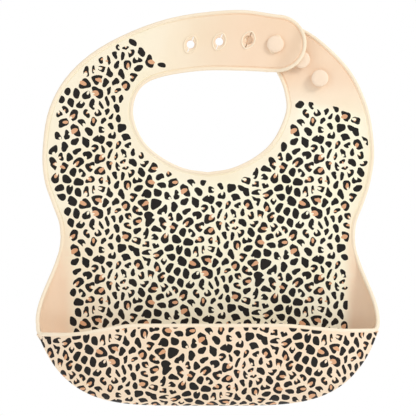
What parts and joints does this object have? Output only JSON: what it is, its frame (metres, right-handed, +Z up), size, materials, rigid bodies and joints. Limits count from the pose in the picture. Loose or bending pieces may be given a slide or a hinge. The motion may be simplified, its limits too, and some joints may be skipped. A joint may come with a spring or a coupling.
{
  "type": "silicone bib",
  "caption": "Soft silicone baby bib with a catch-all food pocket and a neck strap whose holes press over mushroom studs.",
  "frame": {"origin": "centre of the neck opening, on the flat back of the sheet", "axes": "+Z up towards the neck strap, +Y into the wearer's chest, so the pocket and the print face -Y, and +X across to the side of the stud strap"},
  "size_m": [0.2296, 0.0446, 0.2641],
  "materials": {
    "printed_silicone": "matte cream silicone with a charcoal and tan animal-spot print",
    "plain_silicone": "matte peach silicone",
    "stud_silicone": "satin peach silicone"
  },
  "bodies": {
    "chest": {"chest_panel": "printed_silicone"},
    "lower": {"lower_panel": "printed_silicone", "left_gusset": "plain_silicone", "right_gusset": "plain_silicone", "pocket_floor": "plain_silicone"},
    "pocket_wall": {"pocket_front": "printed_silicone", "pocket_rim": "plain_silicone"},
    "hole_strap": {"hole_strap_root": "printed_silicone"},
    "hole_strap_end": {"hole_strap_tip": "plain_silicone", "eyelet_1": "plain_silicone", "eyelet_2": "plain_silicone", "eyelet_3": "plain_silicone", "eyelet_4": "plain_silicone"},
    "stud_strap": {"stud_strap": "printed_silicone", "stud_1": "stud_silicone", "stud_2": "stud_silicone", "stud_3": "stud_silicone"}
  },
  "joints": [
    {"name": "waist_flex", "type": "hinge", "parent": "chest", "child": "lower", "pos_m": [0, -0.002, -0.079], "axis": [-1, 0, 0], "range_deg": [-15, 105], "stiffness_Nm_per_rad": 0.06, "springref_deg": 10.89},
    {"name": "pocket_flex", "type": "hinge", "parent": "lower", "child": "pocket_wall", "pos_m": [0, -0.017, -0.191], "axis": [1, 0, 0], "range_deg": [-25, 15], "stiffness_Nm_per_rad": 0.3, "deforming": ["left_gusset", "right_gusset"]},
    {"name": "hole_strap_flex", "type": "hinge", "parent": "chest", "child": "hole_strap", "pos_m": [0, 0, 0.002], "axis": [-1, 0, 0], "range_deg": [-15, 75], "stiffness_Nm_per_rad": 0.06},
    {"name": "stud_strap_flex", "type": "hinge", "parent": "chest", "child": "stud_strap", "pos_m": [0, 0, 0.002], "axis": [-1, 0, 0], "range_deg": [-15, 75], "stiffness_Nm_per_rad": 0.06},
    {"name": "hole_strap_peel", "type": "hinge", "parent": "hole_strap", "child": "hole_strap_end", "pos_m": [-0.024, -0.002, 0.0487], "axis": [0.172, 0, -0.9851], "range_deg": [0, 100], "stiffness_Nm_per_rad": 0.03, "deforming": ["eyelet_4"]}
  ],
  "couplings": [
    {"joint": "stud_strap_flex", "follows": "hole_strap_flex", "ratio": 1}
  ]
}
